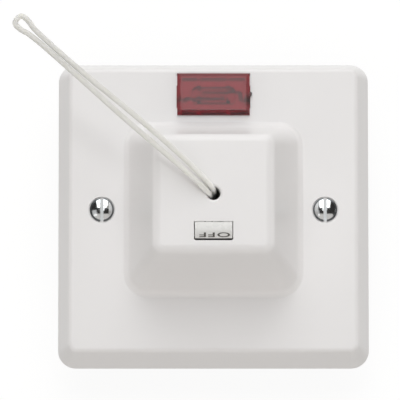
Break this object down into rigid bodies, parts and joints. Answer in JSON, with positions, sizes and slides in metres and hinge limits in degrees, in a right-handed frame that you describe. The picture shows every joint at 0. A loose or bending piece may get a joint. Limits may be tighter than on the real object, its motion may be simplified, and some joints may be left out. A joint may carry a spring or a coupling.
{
  "type": "ceiling pull switch",
  "caption": "Square ceiling pull switch: tapered boss with a doubled pull cord, red neon lens and on/off drum; a pull turns a cam that closes the contact bridges.",
  "frame": {"origin": "midway between the fixing screws, in the plane of the plate's rim, which meets the ceiling", "axes": "+Z out of the front, away from the ceiling; +Y towards the neon lens; +X to the right as seen from the front"},
  "size_m": [0.0958, 0.0854, 0.074],
  "materials": {
    "white_urea": "white urea moulding, satin gloss",
    "plated_steel": "bright nickel plated steel",
    "red_lens": "clear red polycarbonate, polished",
    "lamp_glass": "clear glass",
    "resistor_body": "lacquered resistor body",
    "lead_sleeve": "insulating sleeve",
    "phenolic": "dark brown phenolic moulding",
    "zinc_steel": "zinc plated steel",
    "brass": "drawn brass",
    "silver_contact": "silver contact rivet",
    "acetal": "natural acetal moulding",
    "nylon_cord": "braided ivory nylon",
    "spring_steel": "spring wire",
    "copper": "rolled copper strip",
    "indicator_white": "white moulding, printed"
  },
  "bodies": {
    "housing": {"front_plate": "white_urea", "fixing_screws": "plated_steel", "neon_lens": "red_lens", "neon_lamp": "lamp_glass", "neon_electrodes": "plated_steel", "neon_resistor": "resistor_body", "neon_leads": "lead_sleeve", "base_moulding": "phenolic", "guide_frame": "phenolic", "base_screws": "zinc_steel", "live_in_terminal": "brass", "live_out_terminal": "brass", "neutral_in_terminal": "brass", "neutral_out_terminal": "brass", "terminal_screws": "zinc_steel", "earth_terminal": "brass", "earth_screw": "zinc_steel", "fixed_contact_tips": "silver_contact", "return_spring": "spring_steel", "contact_springs": "spring_steel"},
    "pull": {"pull_slider": "acetal", "cord_ferrule": "brass", "pull_cord": "nylon_cord"},
    "rotor": {"cam_rotor": "acetal"},
    "carrier": {"contact_carrier": "phenolic", "live_bridge": "copper", "neutral_bridge": "copper", "moving_contact_tips": "silver_contact"},
    "indicator": {"indicator_drum": "indicator_white"}
  },
  "joints": [
    {"name": "cord_pull", "type": "slide", "parent": "housing", "child": "pull", "axis": [0, 0, 1], "range_m": [0, 0.008], "stiffness_N_per_m": 700, "springref_m": -0.003, "deforming": ["return_spring"]},
    {"name": "rotor_turn", "type": "hinge", "parent": "housing", "child": "rotor", "pos_m": [0, 0, 0], "axis": [0, 0, 1], "range_deg": [0, 45]},
    {"name": "contact_drop", "type": "slide", "parent": "housing", "child": "carrier", "axis": [0, 0, 1], "range_m": [-0.003, 0], "deforming": ["contact_springs"]},
    {"name": "indicator_turn", "type": "hinge", "parent": "housing", "child": "indicator", "pos_m": [0, -0.0102, 0.0273], "axis": [1, 0, 0], "range_deg": [0, 60]}
  ],
  "couplings": [
    {"joint": "rotor_turn", "follows": "cord_pull", "rad_per_m": 98.17},
    {"joint": "contact_drop", "follows": "cord_pull", "ratio": -0.375},
    {"joint": "indicator_turn", "follows": "cord_pull", "rad_per_m": 130.89}
  ]
}
